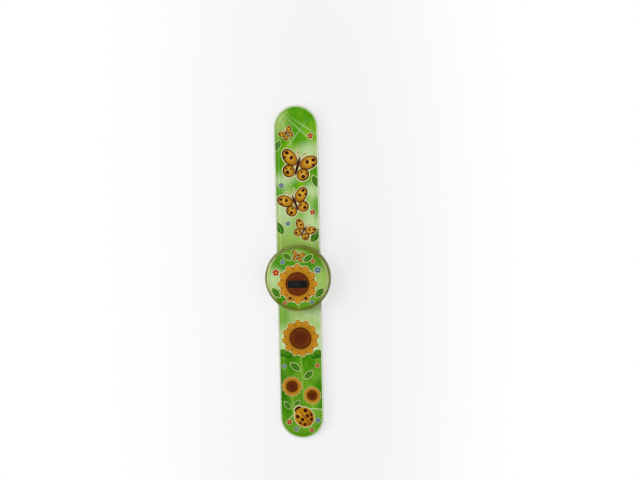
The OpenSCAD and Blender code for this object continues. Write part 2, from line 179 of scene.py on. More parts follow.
def finishMesh(name, bm, materials, sharp=40):
    bmesh.ops.recalc_face_normals(bm, faces=bm.faces)
    mesh = bpy.data.meshes.new(name)
    bm.to_mesh(mesh)
    bm.free()
    for material in materials:
        mesh.materials.append(material)
    mesh.polygons.foreach_set("use_smooth", [True] * len(mesh.polygons))
    mesh.set_sharp_from_angle(angle=math.radians(sharp))
    return addObject(name, mesh)


def mapPrint(bm):
    # where each corner lies on the flat print, in mm
    uv = bm.loops.layers.uv.new("printMm")
    for made in bm.faces:
        for loop in made.loops:
            loop[uv].uv = (loop.vert.co.x / mm, loop.vert.co.y / mm)


def roundLoop(r, segments):
    turns = [2 * math.pi * i / segments for i in range(segments)]
    return [(r * math.cos(a), r * math.sin(a)) for a in turns]


def roundedLoop(w, h, corner, steps=6):
    # outline of a rectangle with round corners, in mm, about its own middle
    points = []
    for sx, sy, start in ((1, 1, 0), (-1, 1, 90), (-1, -1, 180), (1, -1, 270)):
        cx, cy = sx * (w / 2 - corner), sy * (h / 2 - corner)
        for i in range(steps + 1):
            a = math.radians(start + 90 * i / steps)
            points.append((cx + corner * math.cos(a), cy + corner * math.sin(a)))
    return points


def shifted(loop, x, y):
    return [(x + px, y + py) for px, py in loop]


def turned(name, profile, x, y, materials, segments=64):
    # profile of (radius, height) in mm, from the axis below to the axis above
    bm = bmesh.new()
    rings = []
    for r, z in profile:
        if r == 0:
            rings.append([bm.verts.new((x * mm, y * mm, z * mm))] * segments)
        else:
            loop = shifted(roundLoop(r, segments), x, y)
            rings.append([bm.verts.new((px * mm, py * mm, z * mm)) for px, py in loop])
    for low, high in zip(rings, rings[1:]):
        for i in range(segments):
            k = (i + 1) % segments
            bm.faces.new(list(dict.fromkeys((low[i], low[k], high[k], high[i]))))
    return finishMesh(name, bm, materials)


def plate(name, x, y, w, h, corner, low, high, edge, materials):
    # flat slab with round corners and a small round on its upper and lower edges
    bm = bmesh.new()
    steps = [(edge, low), (edge * 0.3, low + edge * 0.3), (0, low + edge), (0, high - edge),
             (edge * 0.3, high - edge * 0.3), (edge, high)]
    rings = []
    for inset, z in steps:
        loop = shifted(roundedLoop(w - 2 * inset, h - 2 * inset, corner - inset * 0.5), x, y)
        rings.append([bm.verts.new((px * mm, py * mm, z * mm)) for px, py in loop])
    count = len(rings[0])
    for a, b in zip(rings, rings[1:]):
        for i in range(count):
            bm.faces.new((a[i], a[(i + 1) % count], b[(i + 1) % count], b[i]))
    bm.faces.new(rings[0])
    bm.faces.new(rings[-1])
    return finishMesh(name, bm, materials, 20)  # low, so that the flat sides stay flat


# printed motifs, each drawn once about its own centre with a size of about 1

ink = {
    "cream": paint(236, 230, 170), "amber": paint(206, 142, 26), "amberDeep": paint(168, 102, 10),
    "amberPale": paint(232, 182, 62), "brown": paint(64, 15, 6), "brownPale": paint(138, 68, 18),
    "seed": paint(112, 46, 12), "leaf": paint(40, 112, 8), "leafPale": paint(120, 180, 44),
    "stem": paint(142, 190, 60), "darkGreen": paint(66, 144, 2), "midGreen": paint(92, 158, 12),
    "lightGreen": paint(122, 182, 48), "paleGreen": paint(174, 208, 106), "mint": paint(202, 230, 164),
    "lime": paint(82, 164, 0), "limePale": paint(130, 192, 20),
    "ground": paint(112, 172, 34), "grass": paint(108, 172, 34), "paintedRimShade": paint(104, 108, 22),
    "paintedRimHighlight": paint(206, 208, 140), "red": paint(176, 36, 24), "blue": paint(30, 112, 160),
}


def motif(name, draw):
    group = bpy.data.node_groups.new(name, "ShaderNodeTree")
    group.interface.new_socket("Place", in_out="INPUT", socket_type="NodeSocketVector")
    group.interface.new_socket("Tint", in_out="INPUT", socket_type="NodeSocketColor")
    group.interface.new_socket("Color", in_out="OUTPUT", socket_type="NodeSocketColor")
    group.interface.new_socket("Cover", in_out="OUTPUT", socket_type="NodeSocketFloat")
    given = group.nodes.new("NodeGroupInput")
    made = group.nodes.new("NodeGroupOutput")
    color, cover = draw(group, given.outputs[0], given.outputs[1])
    group.links.new(color, made.inputs[0])
    group.links.new(cover, made.inputs[1])
    return group


def stamp(tree, place, under, group, x, y, size, turn, tint=ink["amber"], strength=1.0):
    spot = placed(tree, place, x, y, turn, size, size)
    node = tree.nodes.new("ShaderNodeGroup")
    node.node_tree = group
    tree.links.new(spot, node.inputs[0])
    node.inputs[1].default_value = tint
    cover = node.outputs[1] if strength == 1.0 else calc(tree, "MULTIPLY", node.outputs[1], strength)
    return layOver(tree, under, node.outputs[0], cover)


def dab(tree, place, under, color, x, y, w, h, turn=0, soft=0.03):
    return layOver(tree, under, color, oval(tree, place, x, y, w, h, turn, soft))


def polar(tree, place):
    parts = split(tree, place)
    return span(tree, place), calc(tree, "ARCTAN2", parts[1], parts[0])


def mirrored(tree, place):
    parts = split(tree, place)
    return addNode(tree, "CombineXYZ", {0: calc(tree, "ABSOLUTE", parts[0]), 1: parts[1]}).outputs[0]


def petalEdge(tree, angle, petals, low, high, shift=0.0, power=0.7):
    wave = calc(tree, "COSINE", calc(tree, "MULTIPLY_ADD", angle, petals / 2, shift))
    wave = calc(tree, "POWER", calc(tree, "ABSOLUTE", wave), power)
    return calc(tree, "MULTIPLY_ADD", wave, high - low, low)


def drawSunflower(tree, place, tint):
    r, angle = polar(tree, place)
    front = calc(tree, "SUBTRACT", r, petalEdge(tree, angle, 12, 0.66, 0.97))
    back = calc(tree, "SUBTRACT", r, petalEdge(tree, angle, 12, 0.6, 0.88, math.pi / 2))
    nearest = calc(tree, "MINIMUM", front, back)
    petal = layOver(tree, ink["amberDeep"], tint, ramp(tree, r, 0.5, 0.85))
    crease = ramp(tree, calc(tree, "COSINE", calc(tree, "MULTIPLY", angle, 36)), 0.3, 1.0)
    petal = layOver(tree, petal, ink["amberPale"], calc(tree, "MULTIPLY", crease, 0.5))
    color = layOver(tree, ink["cream"], ink["amberDeep"], inside(tree, back, 0.0, 0.015))
    color = layOver(tree, color, ink["brownPale"], inside(tree, front, 0.022, 0.012))
    color = layOver(tree, color, petal, inside(tree, front, 0.0, 0.012))
    # seeds lie where two sets of spirals cross
    outward = calc(tree, "MULTIPLY", r, 34)
    left = calc(tree, "SINE", calc(tree, "MULTIPLY_ADD", angle, 13, outward))
    right = calc(tree, "SINE", calc(tree, "MULTIPLY_ADD", angle, -21, outward))
    seeds = ramp(tree, calc(tree, "MULTIPLY", left, right), -0.1, 0.5)
    core = layOver(tree, ink["brownPale"], ink["seed"], inside(tree, r, 0.36, 0.16))
    core = layOver(tree, core, ink["brown"], seeds)
    color = layOver(tree, color, ink["brown"], inside(tree, r, 0.58, 0.02))
    return layOver(tree, color, core, inside(tree, r, 0.53, 0.012)), inside(tree, nearest, 0.05, 0.02)


def drawButterfly(tree, place, tint):
    side = mirrored(tree, place)
    # ovals as x, y, width, height and turn
    wings = ((0.5, 0.33, 0.98, 0.66, 38), (0.37, -0.33, 0.62, 0.66, -35))
    cover = None
    for x, y, w, h, turn in wings + ((0.0, 0.02, 0.2, 1.06, 0), (0.17, 0.66, 0.035, 0.4, -32)):
        mask = oval(tree, side, x, y, w + 0.09, h + 0.09, turn, 0.03)
        cover = mask if cover is None else calc(tree, "MAXIMUM", cover, mask)
    color = ink["cream"]
    for x, y, w, h, turn in wings:
        color = dab(tree, side, color, ink["brown"], x, y, w, h, turn)
        wing = layOver(tree, ink["amberDeep"], tint, ramp(tree, span(tree, side), 0.1, 0.75))
        color = dab(tree, side, color, wing, x - 0.02, y, w - 0.12, h - 0.12, turn)
        color = dab(tree, side, color, ink["amberPale"], x, y + 0.02, w * 0.5, h * 0.42, turn, 0.2)
    spots = ((0.7, 0.52, 0.22, 0.17), (0.42, 0.34, 0.17, 0.22), (0.74, 0.28, 0.12, 0.12),
             (0.42, -0.42, 0.2, 0.2), (0.28, -0.22, 0.1, 0.12), (0.52, -0.24, 0.1, 0.09))
    for x, y, w, h in spots:
        color = dab(tree, side, color, ink["brown"], x, y, w, h, 20)
    # feelers, then the body
    color = dab(tree, side, color, ink["brown"], 0.17, 0.66, 0.035, 0.36, -32, 0.02)
    color = dab(tree, side, color, ink["brown"], 0.0, 0.02, 0.15, 1.0)
    return color, cover


def drawBeetle(tree, place, tint):
    side = mirrored(tree, place)
    cover = calc(tree, "MAXIMUM", oval(tree, side, 0, 0, 2.0, 2.16, 0, 0.04),
                 oval(tree, side, 0, 0.98, 0.96, 0.66, 0, 0.04))
    color = dab(tree, side, ink["cream"], ink["brown"], 0, 0.96, 0.78, 0.5, 0, 0.04)
    shade = ramp(tree, span(tree, placed(tree, place, -0.2, 0.3)), 0.5, 1.2)
    back = layOver(tree, tint, ink["amberDeep"], shade)
    color = dab(tree, side, color, back, 0, -0.02, 1.86, 1.98, 0, 0.04)
    color = dab(tree, place, color, ink["amberPale"], -0.35, 0.45, 0.5, 0.3, 35, 0.3)
    spots = ((0.48, 0.42, 0.36, 0.42), (0.3, -0.1, 0.34, 0.38), (0.66, -0.22, 0.22, 0.34),
             (0.42, -0.6, 0.34, 0.28))
    for x, y, w, h in spots:
        color = dab(tree, side, color, ink["brown"], x, y, w, h, 0, 0.05)
    return dab(tree, side, color, ink["brown"], 0, -0.05, 0.07, 1.84), cover


def drawLeaf(tree, place, tint):
    # two arcs that meet in a point, with a pale rib and side veins
    side = mirrored(tree, place)
    arc = span(tree, placed(tree, side, -0.78, 0))
    parts = split(tree, side)
    slant = calc(tree, "MULTIPLY_ADD", parts[0], -1.3, parts[1])
    vein = ramp(tree, calc(tree, "SINE", calc(tree, "MULTIPLY", slant, 22)), 0.8, 1.0)
    color = layOver(tree, tint, ink["leafPale"], calc(tree, "MULTIPLY", vein, 0.55))
    color = layOver(tree, color, ink["leafPale"], inside(tree, parts[0], 0.035, 0.02))
    color = layOver(tree, ink["cream"], color, inside(tree, arc, 1.2, 0.02))
    return color, inside(tree, arc, 1.27, 0.02)


def drawBlossom(tree, place, tint):
    r, angle = polar(tree, place)
    edge = calc(tree, "SUBTRACT", r, petalEdge(tree, angle, 5, 0.42, 0.92, 0.0, 0.55))
    color = layOver(tree, ink["cream"], tint, inside(tree, edge, 0.0, 0.05))
    color = layOver(tree, color, ink["amberPale"], inside(tree, r, 0.24, 0.06))
    return color, inside(tree, edge, 0.14, 0.05)


sunflower = motif("sunflower", drawSunflower)
butterfly = motif("butterfly", drawButterfly)
beetle = motif("beetle", drawBeetle)
leaf = motif("leaf", drawLeaf)
blossom = motif("blossom", drawBlossom)
print("motifs drawn")


def printPlace(tree):
    # print coordinates in millimetres, kept in a UV map so that the print stays put when the band curls:
    # once for textures, and once as a plain vector for the motifs
    sheet = addNode(tree, "UVMap", {}, uv_map="printMm").outputs[0]
    return sheet, addNode(tree, "VectorMath", {0: sheet, 1: (0, 0, 0)}, operation="ADD").outputs[0]


def grassEdge(tree, sheet, place, base, height, pitch):
    # a row of blades: 1 below a jagged line about base
    parts = split(tree, place)
    wander = grain(tree, stretched(tree, sheet, 0.9 / pitch, 0.0, 0), 1.0, 2.0)
    saw = calc(tree, "PINGPONG", calc(tree, "MULTIPLY_ADD", wander, 2.2 * pitch, parts[0]), pitch / 2)
    top = calc(tree, "MULTIPLY_ADD", saw, 2 * height / pitch, base)
    top = calc(tree, "MULTIPLY_ADD", wander, height, top)
    return inside(tree, calc(tree, "SUBTRACT", parts[1], top), 0.0, 0.25)


def softPatch(tree, place, under, color, x, y, w, h, turn, amount):
    mask = calc(tree, "MULTIPLY", oval(tree, place, x, y, w, h, turn, min(w, h) * 0.75), amount)
    return layOver(tree, under, color, mask)


def addLeaves(tree, place, color, spots):
    for x, y, size, turn in spots:
        color = stamp(tree, place, color, leaf, x, y, size, turn, ink["leaf"])
    return color


def addBlossoms(tree, place, color, turn, spots):
    for x, y, size, tint in spots:
        color = stamp(tree, place, color, blossom, x, y, size, turn, ink[tint])
    return color


# band: welded vinyl sleeve, printed in front and plain behind, round a spring strip

band = {
    "width": 30.0, "camber": 1.0, "back": 1.63, "upperTip": 114.5, "lowerTip": -110.5,
    "held": 10.0, "links": 8,
    # halves of outlines as (distance from the middle line, height), front middle to back middle
    "front": [(0, 1.15), (2, 1.15), (4, 1.15), (6, 1.15), (8, 1.15), (9.5, 1.15), (10.6, 1.15),
              (11.1, 1.14), (11.45, 1.11), (11.75, 1.03), (12.0, 0.92), (12.25, 0.84), (12.55, 0.805),
              (13.0, 0.80), (13.5, 0.80), (13.72, 0.79), (13.85, 0.755), (14.0, 0.735), (14.15, 0.755),
              (14.28, 0.79), (14.45, 0.80), (14.62, 0.79), (14.78, 0.75), (14.91, 0.66), (14.98, 0.54),
              (15.0, 0.4), (14.98, 0.26), (14.91, 0.14), (14.78, 0.05)],
    "behind": [(14.6, 0.0), (14.28, 0.005), (14.15, 0.04), (14.0, 0.06), (13.85, 0.04), (13.72, 0.005),
               (13.5, 0.0), (12.5, 0.0), (10.5, 0.0), (8, 0.0), (5.5, 0.0), (3, 0.0), (0, 0.0)],
    "pocket": [(0, 0.75), (3, 0.75), (6, 0.75), (9, 0.75), (11.15, 0.75), (11.25, 0.68),
               (11.25, 0.47), (11.15, 0.4), (9, 0.4), (6, 0.4), (3, 0.4), (0, 0.4)],
    "spring": [(0, 0.7), (3, 0.7), (6, 0.7), (9, 0.7), (10.9, 0.7), (11.0, 0.63),
               (11.0, 0.52), (10.9, 0.45), (9, 0.45), (6, 0.45), (3, 0.45), (0, 0.45)],
    "border": 1.1, "stationPitch": 13 / 22, "tipSteps": 56, "sharp": 50,
    "tongue": 0.7, "tongueInset": 0.03, "springGap": 0.05,
    # reach of the bend before and after a hinge, in links; the first one starts flat at the clamp
    "bendReach": (1.37, 1.37), "firstReach": (0.5, 0.965),
    "screwX": 7.5, "screwHole": 1.0, "drillDepth": 10.0, "drillZ": 3.0,
}
camberRadius = (band["width"] / 2) ** 2 / (2 * band["camber"]) + band["camber"] / 2


def bandZ(x, height):
    return band["back"] + camberRadius - math.sqrt((camberRadius - height) ** 2 - x * x)


def linkPlan(tip):
    # direction of a half of the band, length of its links and the middles of those, from the head on
    sign = 1 if tip > 0 else -1
    length = (abs(tip) - band["held"]) / band["links"]
    return sign, length, [sign * (band["held"] + length * (i - 0.5)) for i in range(band["links"] + 1)]


def stripPiece(name, start, end, tip, outline, pocket, materials, tongue=0.0):
    # a stretch of band: a closed skin round an outline, hollow where there is a pocket;
    # a tongue reaches into the next stretch, so that no gap opens when the band curls
    bm = bmesh.new()
    rail = bm.verts.layers.float.new("rail")
    halfWidth = band["width"] / 2
    sign = 1 if end > start else -1
    last = end if tip is None else tip - sign * halfWidth
    count = max(2, round(abs(last - start) / band["stationPitch"]))
    rows = [(start + (last - start) * i / count, 0.0) for i in range(count + 1)]  # place and inset

    def corner(x, y, height, r):
        v = bm.verts.new((x * mm, y * mm, bandZ(x, height) * mm))
        v[rail] = r
        return v

    def skin(profile, rows, frontCount):
        # right and left halves of the tube, then the half round at the tip
        middle = (profile[0][1] + profile[-1][1]) / 2
        thick = abs(profile[0][1] - middle)

        def strip(a, b):
            for j in range(len(profile) - 1):
                loop = list(dict.fromkeys((a[j], a[j + 1], b[j + 1], b[j])))
                bm.faces.new(loop).material_index = 0 if j < frontCount else 1

        right, left = [], []
        for y, inset in rows:
            own = [(r - inset * r / halfWidth, h - inset * (h - middle) / thick) for r, h in profile]
            right.append([corner(r, y, h, r) for r, h in own])
            left.append([right[-1][j] if r == 0 else corner(-r, y, h, r) for j, (r, h) in enumerate(own)])
        for half in (right, left):
            for a, b in zip(half, half[1:]):
                strip(a, b)
        if tip is not None:
            fan = [right[-1]]
            for i in range(1, band["tipSteps"]):
                c, s = math.cos(math.pi * i / band["tipSteps"]), math.sin(math.pi * i / band["tipSteps"])
                fan.append([right[-1][j] if r == 0 else corner(r * c, last + sign * r * s, h, r)
                            for j, (r, h) in enumerate(profile)])
            fan.append(left[-1])
            for a, b in zip(fan, fan[1:]):
                strip(a, b)
        return right, left

    reach = last + sign * tongue
    beyond = [(last, band["tongueInset"]), (reach, band["tongueInset"])] if tongue else []
    skins = [skin(outline, rows + beyond, len(band["front"]) - 1 if pocket else len(outline))]
    if pocket:
        skins.append(skin(pocket, rows + ([(reach, 0.0)] if tongue else []), 0))

    def cap(i):
        # flat end, between the outline and the pocket if there is one
        edges = []
        for right, left in skins:
            loop = right[i] + left[i][-2:0:-1]
            edges += [bm.edges.get((loop[k], loop[(k + 1) % len(loop)])) for k in range(len(loop))]
        for made in bmesh.ops.triangle_fill(bm, edges=edges, use_beauty=True)["geom"]:
            if isinstance(made, bmesh.types.BMFace):
                made.material_index = len(materials) - 1

    cap(0)
    if tip is None:
        cap(-1)
    mapPrint(bm)
    return finishMesh(name, bm, materials, band["sharp"])


def metal(name, tone, dull, rough, stretch):
    # brushed along the axis whose stretch is smallest
    material, tree, shader = newMaterial(name)
    place = millimetres(tree)
    brushed = grain(tree, stretched(tree, place, *stretch), 1.0, 4.0, 0.6)
    stain = grain(tree, place, 0.3, 4.0)
    color = layOver(tree, paint(*dull), paint(*tone), ramp(tree, brushed, 0.25, 0.7))
    color = layOver(tree, color, paint(*dull), ramp(tree, stain, 0.55, 0.75, 0.0, 0.25))
    dress(tree, shader, color, ramp(tree, brushed, 0.25, 0.75, *rough), {"Metallic": 1.0})
    bumped(tree, shader, brushed, 0.000004)
    return material


def upperPrint(tree, sheet, place):
    # sunlit leaves out of focus, butterflies in front of them
    parts = split(tree, place)
    low = grain(tree, stretched(tree, sheet, 0.13, 0.045, 0), 1.0, 2.0)
    color = layOver(tree, ink["lime"], ink["limePale"], ramp(tree, low, 0.4, 0.6))
    color = layOver(tree, color, ink["paleGreen"], ramp(tree, parts[1], 62, 20, 0.0, 0.85))
    blurs = ((-11, 104, 14, 17, 30, "paleGreen", 0.9), (9, 84, 17, 10, 0, "mint", 0.9),
             (-10, 66, 17, 9, 8, "mint", 0.95), (-9, 46, 13, 25, 0, "mint", 0.95),
             (11, 58, 10, 10, 0, "mint", 0.95), (10, 37, 12, 22, 0, "mint", 0.95),
             (12, 70, 9, 15, 0, "lime", 0.95), (-12, 78, 9, 19, 0, "lime", 0.95),
             (-13, 56, 8, 11, 0, "lime", 0.9), (-1, 104, 9, 26, 0, "lime", 0.9),
             (13, 46, 7, 11, 0, "lime", 0.8))
    for x, y, w, h, turn, name, amount in blurs:
        color = softPatch(tree, place, color, ink[name], x, y, w, h, turn, amount)
    # sun rays
    for x, y, length, turn in ((-7, 98, 34, 22), (4, 97, 30, 48), (8, 99, 26, 56), (-2, 92, 26, -38)):
        ray = calc(tree, "MULTIPLY", oval(tree, place, x, y, 1.1, length, turn, 0.6), 0.38)
        color = layOver(tree, color, ink["mint"], ray)
    color = addLeaves(tree, place, color, ((-12.2, 33, 5.5, 28), (11.8, 28, 6.2, -32),
                                           (12.4, 64, 4.8, 22), (-12.4, 88, 4.4, -24)))
    for x, y, size, turn in ((0.6, 74, 13.2, -16), (-1.4, 49.5, 11.6, 21), (3.6, 31, 8.2, -30),
                             (-6.0, 95.5, 5.4, 34)):
        color = stamp(tree, place, color, butterfly, x, y, size, turn)
    return addBlossoms(tree, place, color, 15, ((9.6, 94, 2.2, "red"), (-10.6, 61.5, 2.0, "blue"),
                                                (10.2, 43.5, 2.0, "red"), (-6.5, 36, 1.8, "blue")))


def lowerPrint(tree, sheet, place):
    # sunflowers that stand in a meadow, with a beetle on the hill in front
    parts = split(tree, place)
    low = grain(tree, stretched(tree, sheet, 0.1, 0.05, 0), 1.0, 2.0)
    sky = layOver(tree, ink["paleGreen"], ink["mint"], ramp(tree, low, 0.38, 0.58, 0.35, 1.0))
    sky = softPatch(tree, place, sky, ink["lightGreen"], -12, -27, 12, 16, 0, 0.9)
    field = layOver(tree, ink["darkGreen"], ink["ground"], ramp(tree, low, 0.4, 0.62))
    color = layOver(tree, sky, field, grassEdge(tree, sheet, place, -53.5, 1.6, 1.7))
    color = softPatch(tree, place, color, ink["lightGreen"], 10, -66, 10, 9, 0, 0.7)
    color = softPatch(tree, place, color, ink["leaf"], -12, -74, 9, 20, 0, 0.7)
    # bushes on the skyline
    for x, y, w, h in ((-11.5, -51.5, 8, 5), (-8.0, -53, 6, 4), (12, -52, 7, 5.5), (9, -53.5, 5, 4)):
        color = dab(tree, place, color, ink["leaf"], x, y, w, h, 0, 0.6)
        color = softPatch(tree, place, color, ink["midGreen"], x - 0.8, y + 0.8, w * 0.6, h * 0.55, 0, 0.8)
    # stems behind the flower heads
    for x, y, length, turn in ((0.6, -66, 40, 2), (-6.4, -84, 26, 2), (7.4, -86, 22, 3)):
        color = dab(tree, place, color, ink["stem"], x, y, 1.2, length, turn, 0.25)
    color = addLeaves(tree, place, color, ((-4.0, -61, 4.6, 52), (5.0, -66.5, 4.4, -50),
                                           (-9.8, -87.5, 3.6, 40), (-3.2, -86.0, 3.0, -46)))
    hill = oval(tree, place, 9, -107, 44, 34, 0, 0.5)
    shade = layOver(tree, ink["midGreen"], ink["lightGreen"], ramp(tree, parts[1], -104, -90))
    color = layOver(tree, color, ink["mint"], oval(tree, place, 9, -106.6, 44.4, 34.4, 0, 0.5))
    color = layOver(tree, color, shade, hill)
    color = layOver(tree, color, ink["grass"], grassEdge(tree, sheet, place, -104.5, 4.2, 1.5))
    color = layOver(tree, color, ink["midGreen"], grassEdge(tree, sheet, place, -109.5, 3.6, 1.2))
    for x, y, size, turn in ((0.0, -41.5, 12.8, 8), (-6.4, -74.5, 7.0, -10), (7.2, -80.5, 6.2, 20)):
        color = stamp(tree, place, color, sunflower, x, y, size, turn)
    color = stamp(tree, place, color, beetle, 1.4, -95.5, 7.0, 38)
    return addBlossoms(tree, place, color, 10, ((-8.8, -99, 2.1, "red"), (10.8, -97.5, 1.9, "blue"),
                                                (-4.0, -104, 1.7, "blue"), (6.4, -104.5, 1.8, "red"),
                                                (11.2, -60, 1.7, "red"), (-11.4, -60.5, 1.6, "blue")))


def bandFront(name, drawPrint):
    material, tree, shader = newMaterial(name)
    sheet, place = printPlace(tree)
    fromMiddle = addNode(tree, "Attribute", {}, attribute_name="rail").outputs["Fac"]
    picture = drawPrint(tree, sheet, place)
    # ink lies a little unevenly, and the unprinted vinyl shows along the weld
    mottle = grain(tree, sheet, 1.6, 4.0)
    picture = layOver(tree, picture, paint(30, 60, 0), ramp(tree, mottle, 0.4, 0.75, 0.0, 0.12))
    bare = layOver(tree, paint(232, 236, 214), paint(214, 223, 192), mottle)
    edge = band["width"] / 2 - band["border"]
    color = layOver(tree, bare, picture, inside(tree, fromMiddle, edge, 0.06))
    scuff = grain(tree, stretched(tree, sheet, 0.5, 0.12, 0), 1.0, 5.0, 0.6)
    dress(tree, shader, color, ramp(tree, scuff, 0.3, 0.75, 0.18, 0.3),
          {"Specular IOR Level": 0.25, "Coat Weight": 0.05, "Coat Roughness": 0.12, "IOR": 1.5})
    # slow ripples of the sheet over the spring, and its fine skin
    ripple = grain(tree, stretched(tree, sheet, 0.16, 0.05, 0), 1.0, 2.0)
    skin = grain(tree, sheet, 5.0, 2.0)
    bumped(tree, shader, calc(tree, "MULTIPLY_ADD", skin, 0.06, ripple), 0.00012)
    return material


def bandBack():
    material, tree, shader = newMaterial("bandBackVinyl")
    sheet, _ = printPlace(tree)
    cells = addNode(tree, "TexVoronoi", {"Vector": sheet, "Scale": 1.5}, feature="DISTANCE_TO_EDGE")
    crease = ramp(tree, cells.outputs[0], 0.0, 0.14)
    cloud = grain(tree, sheet, 0.12, 4.0)
    color = layOver(tree, paint(214, 219, 205), paint(232, 235, 225), cloud)
    # painted shade: the vinyl is darker along the creases of its grain
    color = layOver(tree, paint(196, 202, 186), color, ramp(tree, crease, 0.0, 1.0, 0.55, 1.0))
    dress(tree, shader, color, ramp(tree, crease, 0.0, 1.0, 0.62, 0.46), {"IOR": 1.5})
    bumped(tree, shader, crease, 0.00003)
    return material


upperFront = bandFront("upperBandPrint", upperPrint)
lowerFront = bandFront("lowerBandPrint", lowerPrint)
backVinyl = bandBack()
springSteel = metal("springSteel", (172, 178, 188), (136, 142, 152), (0.22, 0.4), (8, 0.3, 8))
sleeveLine = band["front"] + band["behind"]
clampEnds = []
for half, tip, front in (("upper", band["upperTip"], upperFront), ("lower", band["lowerTip"], lowerFront)):
    sign, length, middles = linkPlan(tip)
    clampEnds.append(middles[0])
    for i in range(1, band["links"] + 1):
        end = tip if i == band["links"] else None
        sleeve = stripPiece(f"{half}_band_{i}", middles[i - 1], middles[i], end, sleeveLine, band["pocket"],
                            [front, backVinyl], 0 if end else band["tongue"])
        springStart = sign * (band["held"] + band["springGap"]) if i == 1 else middles[i - 1]
        spring = stripPiece(f"{half}_spring_strip_{i}", springStart, middles[i], end, band["spring"], None,
                            [springSteel])
        for piece, node in ((sleeve, "sleeve"), (spring, "spring")):
            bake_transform(piece)
            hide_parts(f"{half}_{node}_{i}")

# the clamped stretch under the head, with holes for the strap screws
middleBand = stripPiece("middle_band", clampEnds[1], clampEnds[0], None, sleeveLine, band["pocket"],
                        [upperFront, backVinyl])
drill = bmesh.new()
for x in (-band["screwX"], band["screwX"]):
    ends = bmesh.ops.create_cone(drill, cap_ends=True, segments=32, radius1=band["screwHole"] * mm,
                                 radius2=band["screwHole"] * mm, depth=band["drillDepth"] * mm)["verts"]
    bmesh.ops.translate(drill, verts=ends, vec=(x * mm, 0, band["drillZ"] * mm))
drillMesh = bpy.data.meshes.new("strapScrewDrill")
drill.to_mesh(drillMesh)
drill.free()
drillPiece = addObject("strapScrewDrill", drillMesh)
cut = middleBand.modifiers.new("screwHoles", "BOOLEAN")
cut.operation = "DIFFERENCE"
cut.object = drillPiece
cut.solver = "EXACT"
bpy.context.view_layer.update()
drilled = middleBand.evaluated_get(bpy.context.evaluated_depsgraph_get())
middleBand.data = bpy.data.meshes.new_from_object(drilled)
middleBand.modifiers.clear()
bpy.data.objects.remove(drillPiece)
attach(middleBand, "head")
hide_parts("mid_sleeve")
print("band built")


# face label: domed printed film with the window and the button holes

face = {
    "radius": 20.7, "rise": 1.3, "edgeHeight": 10.12, "thick": 0.25, "gap": 0.03, "grid": 1.1,
    "window": (0.0, -3.8, 13.0, 5.0, 0.45),  # middle, width, height and corner
    "buttons": ((-5.2, -13.2), (5.2, -13.2)), "buttonHole": 0.98,
    # rounding of the film's edge and of its holes, as width and drop
    "edgeRound": (0.22, 0.09), "holeRound": (0.1, 0.05), "edgeSteps": 160, "holeSteps": 36,
    "clearOfEdge": 0.75, "clearOfHole": 0.6, "sharp": 60,
}
faceCurve = (face["radius"] ** 2 + face["rise"] ** 2) / (2 * face["rise"])
faceCentre = face["edgeHeight"] + face["rise"] - faceCurve


def faceZ(r, raised):
    return faceCentre + math.sqrt((faceCurve + raised) ** 2 - r * r)


def faceLabel(materials):
    wx, wy, ww, wh, wc = face["window"]
    edgeWide, edgeDrop = face["edgeRound"]
    soft, holeDrop = face["holeRound"]
    loops = [(roundLoop(face["radius"], face["edgeSteps"]), edgeDrop),
             (roundLoop(face["radius"] - edgeWide, face["edgeSteps"]), 0.0),
             (shifted(roundedLoop(ww, wh, wc), wx, wy), holeDrop),
             (shifted(roundedLoop(ww + 2 * soft, wh + 2 * soft, wc + soft), wx, wy), 0.0)]
    for bx, by in face["buttons"]:
        for wider, drop in ((0.0, holeDrop), (soft, 0.0)):
            loops.append((shifted(roundLoop(face["buttonHole"] + wider, face["holeSteps"]), bx, by), drop))
    points, edges, drops = [], [], []
    for loop, drop in loops:
        first = len(points)
        points += [Vector(p) for p in loop]
        drops += [drop] * len(loop)
        edges += [(first + i, first + (i + 1) % len(loop)) for i in range(len(loop))]

    def inHole(x, y, spare):
        # distance past the straight sides of the window, towards its round corners
        dx, dy = max(abs(x - wx) - ww / 2 + wc, 0), max(abs(y - wy) - wh / 2 + wc, 0)
        if math.hypot(dx, dy) < wc + spare:
            return True
        return any(math.hypot(x - bx, y - by) < face["buttonHole"] + spare for bx, by in face["buttons"])

    # points in a triangle grid between the loops
    rowPitch = face["grid"] * 0.866
    rows = int(2 * face["radius"] / rowPitch) + 1
    for j in range(rows):
        for i in range(rows):
            x = -face["radius"] + face["grid"] * (i + 0.5 * (j % 2))
            y = -face["radius"] + rowPitch * j
            clear = math.hypot(x, y) < face["radius"] - face["clearOfEdge"]
            if clear and not inHole(x, y, face["clearOfHole"]):
                points.append(Vector((x, y)))
                drops.append(0.0)
    flat, _, triangles, origins, _, _ = delaunay_2d_cdt(points, edges, [], 0, 1e-6)
    bm = bmesh.new()
    top, low = [], []
    for i, p in enumerate(flat):
        drop = drops[origins[i][0]] if origins[i] else 0.0
        top.append(bm.verts.new((p.x * mm, p.y * mm, (faceZ(p.length, face["thick"]) - drop) * mm)))
        low.append(bm.verts.new((p.x * mm, p.y * mm, faceZ(p.length, face["gap"]) * mm)))
    for triangle in triangles:
        middle = sum((flat[i] for i in triangle), Vector((0, 0))) / 3
        if inHole(middle.x, middle.y, 0.0):
            continue
        bm.faces.new([top[i] for i in triangle])
        bm.faces.new([low[i] for i in reversed(triangle)])
    other = dict(zip(top, low))
    for edge in [e for e in bm.edges if e.is_boundary and e.verts[0] in other]:
        a, b = edge.verts
        bm.faces.new((a, b, other[b], other[a]))
    bmesh.ops.delete(bm, geom=[v for v in bm.verts if not v.link_faces], context="VERTS")
    mapPrint(bm)
    return finishMesh("face_print_label", bm, materials, face["sharp"])


